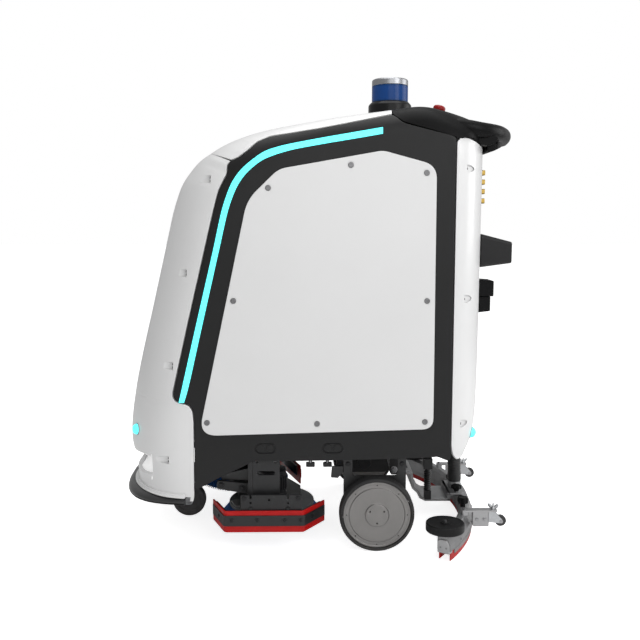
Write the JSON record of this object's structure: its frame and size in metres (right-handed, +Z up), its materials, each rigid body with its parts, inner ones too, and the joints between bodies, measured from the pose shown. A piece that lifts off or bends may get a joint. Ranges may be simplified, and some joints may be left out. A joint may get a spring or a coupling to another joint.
{
  "type": "robotic floor scrubber",
  "caption": "Self-driving floor scrubber: tall closed body with side panels, light strips, round laser scanner, push handle, disc brush deck with side skirts, and curved rear squeegee.",
  "frame": {"origin": "on the floor, below the centre of the bounding box", "axes": "+Z up, -Y towards the front (driving direction), +Y towards the handle and squeegee, +X to the left-hand side of the machine when driving forward"},
  "size_m": [0.827, 1.166, 1.357],
  "materials": {
    "shell_black": "satin",
    "panel_white": "satin",
    "cover_white": "satin",
    "led_cyan": "gloss",
    "frame_steel": "satin",
    "bracket_steel": "satin",
    "handle_grey": "satin",
    "screen_black": "gloss",
    "lidar_ring": "satin",
    "lidar_blue": "gloss",
    "lidar_silver": "satin",
    "stop_red": "satin",
    "sensor_black": "gloss",
    "lamp_cyan": "gloss",
    "contact_gold": "polished",
    "battery_case": "matte",
    "tank_plastic": "matte",
    "motor_black": "satin",
    "hub_metal": "satin",
    "tyre_rubber": "matte",
    "caster_tread": "matte",
    "bumper_rubber": "matte",
    "deck_metal": "satin",
    "actuator_metal": "satin",
    "brush_blue": "matte",
    "blade_red": "satin",
    "holder_metal": "satin",
    "squeegee_grey": "satin",
    "squeegee_rubber": "satin",
    "bracket_light": "satin",
    "support_grey": "matte",
    "roller_grey": "matte",
    "hose_black": "matte"
  },
  "bodies": {
    "chassis": {"base_frame": "frame_steel", "side_shell_left": "shell_black", "side_shell_right": "shell_black", "led_strip_left": "led_cyan", "led_strip_right": "led_cyan", "side_panel_left": "panel_white", "side_panel_right": "panel_white", "front_cover": "cover_white", "rear_cover": "cover_white", "console_housing": "shell_black", "handle": "handle_grey", "touch_screen": "screen_black", "lidar_base": "lidar_ring", "lidar_window": "lidar_blue", "lidar_cap": "lidar_silver", "front_scanner": "sensor_black", "front_lamp_left": "lamp_cyan", "front_lamp_right": "lamp_cyan", "rear_lamp_left": "lamp_cyan", "rear_lamp_right": "lamp_cyan", "charging_contacts": "contact_gold", "dock_housing": "shell_black", "hose_port": "shell_black", "battery_pack": "battery_case", "clean_water_tank": "tank_plastic", "recovery_tank": "tank_plastic", "vacuum_motor": "motor_black", "drive_bracket_left": "bracket_steel", "drive_bracket_right": "bracket_steel", "deck_actuator": "actuator_metal", "suction_hose": "hose_black"},
    "lid": {"top_lid": "cover_white"},
    "stop_switch": {"estop_button": "stop_red"},
    "bumper": {"front_bumper": "bumper_rubber"},
    "wheel_left": {"drive_hub_left": "hub_metal", "drive_tyre_left": "tyre_rubber"},
    "wheel_right": {"drive_hub_right": "hub_metal", "drive_tyre_right": "tyre_rubber"},
    "caster_swivel": {"caster_fork": "bracket_steel"},
    "caster_roller": {"caster_wheel": "caster_tread"},
    "deck": {"brush_deck": "deck_metal", "brush_motor_left": "motor_black", "brush_motor_right": "motor_black", "skirt_blade_left": "blade_red", "skirt_blade_right": "blade_red", "skirt_holder_left": "holder_metal", "skirt_holder_right": "holder_metal"},
    "scrub_brush_left": {"brush_left": "brush_blue"},
    "scrub_brush_right": {"brush_right": "brush_blue"},
    "squeegee": {"squeegee_arm": "squeegee_grey", "squeegee_body": "squeegee_grey", "squeegee_blade_front": "squeegee_rubber", "squeegee_blade_rear": "squeegee_rubber", "squeegee_actuator": "actuator_metal", "support_bracket_left": "bracket_light", "support_bracket_right": "bracket_light"},
    "roller_left": {"squeegee_roller_left": "roller_grey"},
    "roller_right": {"squeegee_roller_right": "roller_grey"},
    "rear_wheel_left": {"support_wheel_left": "support_grey"},
    "rear_wheel_right": {"support_wheel_right": "support_grey"}
  },
  "joints": [
    {"name": "lid_hinge", "type": "hinge", "parent": "chassis", "child": "lid", "pos_m": [0, -0.311, 1.124], "axis": [1, 0, 0], "range_deg": [0, 70]},
    {"name": "stop_press", "type": "slide", "parent": "chassis", "child": "stop_switch", "axis": [0, -0.2419, -0.9703], "range_m": [0, 0.004], "stiffness_N_per_m": 500},
    {"name": "bumper_press", "type": "slide", "parent": "chassis", "child": "bumper", "axis": [0, 1, 0], "range_m": [0, 0.008], "stiffness_N_per_m": 2500},
    {"name": "drive_left", "type": "hinge", "parent": "chassis", "child": "wheel_left", "pos_m": [0.28, 0.163, 0.107], "axis": [1, 0, 0], "continuous": true},
    {"name": "drive_right", "type": "hinge", "parent": "chassis", "child": "wheel_right", "pos_m": [-0.28, 0.163, 0.107], "axis": [1, 0, 0], "continuous": true},
    {"name": "caster_swivel", "type": "hinge", "parent": "chassis", "child": "caster_swivel", "pos_m": [0, -0.4455, 0.13], "axis": [0, 0, 1], "continuous": true},
    {"name": "caster_roll", "type": "hinge", "parent": "caster_swivel", "child": "caster_roller", "pos_m": [0, -0.4105, 0.0525], "axis": [1, 0, 0], "continuous": true},
    {"name": "deck_lift", "type": "slide", "parent": "chassis", "child": "deck", "axis": [0, 0, 1], "range_m": [-0.055, 0]},
    {"name": "brush_spin_left", "type": "hinge", "parent": "deck", "child": "scrub_brush_left", "pos_m": [0.18, -0.14, 0.1], "axis": [0, 0, 1], "continuous": true},
    {"name": "brush_spin_right", "type": "hinge", "parent": "deck", "child": "scrub_brush_right", "pos_m": [-0.16, -0.25, 0.1], "axis": [0, 0, 1], "continuous": true},
    {"name": "squeegee_lift", "type": "hinge", "parent": "chassis", "child": "squeegee", "pos_m": [0, 0.235, 0.168], "axis": [1, 0, 0], "range_deg": [-1.5, 12], "deforming": ["suction_hose"]},
    {"name": "roller_spin_left", "type": "hinge", "parent": "squeegee", "child": "roller_left", "pos_m": [0.36, 0.347, 0.095], "axis": [0, 0, 1], "continuous": true},
    {"name": "roller_spin_right", "type": "hinge", "parent": "squeegee", "child": "roller_right", "pos_m": [-0.36, 0.347, 0.095], "axis": [0, 0, 1], "continuous": true},
    {"name": "rear_wheel_roll_left", "type": "hinge", "parent": "squeegee", "child": "rear_wheel_left", "pos_m": [0.23, 0.532, 0.062], "axis": [1, 0, 0], "continuous": true},
    {"name": "rear_wheel_roll_right", "type": "hinge", "parent": "squeegee", "child": "rear_wheel_right", "pos_m": [-0.23, 0.532, 0.062], "axis": [1, 0, 0], "continuous": true}
  ]
}
